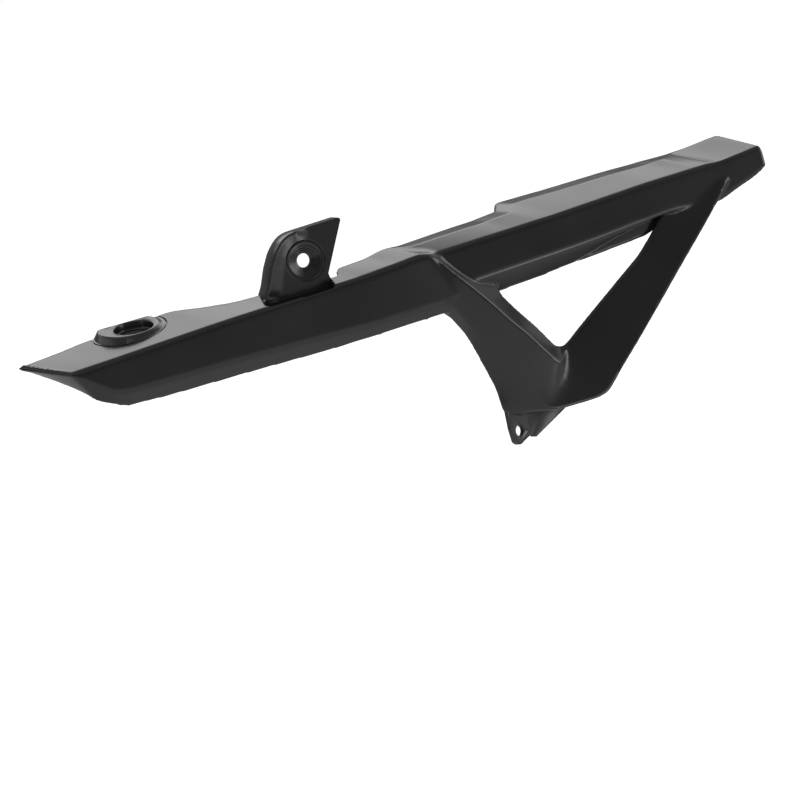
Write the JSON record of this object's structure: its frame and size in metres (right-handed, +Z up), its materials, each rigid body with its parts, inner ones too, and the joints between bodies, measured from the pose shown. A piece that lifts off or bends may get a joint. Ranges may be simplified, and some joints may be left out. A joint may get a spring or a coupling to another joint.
{
  "type": "motorcycle chain guard",
  "caption": "Moulded motorcycle chain guard: a long open-bottomed beam with a pointed front, an upright bolt tab, a recessed front boss and a V-shaped rear fin round a triangular window.",
  "frame": {"origin": "middle of the bolt hole in the upright tab, at half the thickness of its web", "axes": "+X to the rear wheel along the guard, -Y outboard along the tab's bolt, +Z up"},
  "size_m": [0.5191, 0.066, 0.1783],
  "materials": {
    "black_plastic": "satin"
  },
  "bodies": {
    "root": {"chain_guard": "black_plastic"}
  },
  "joints": []
}
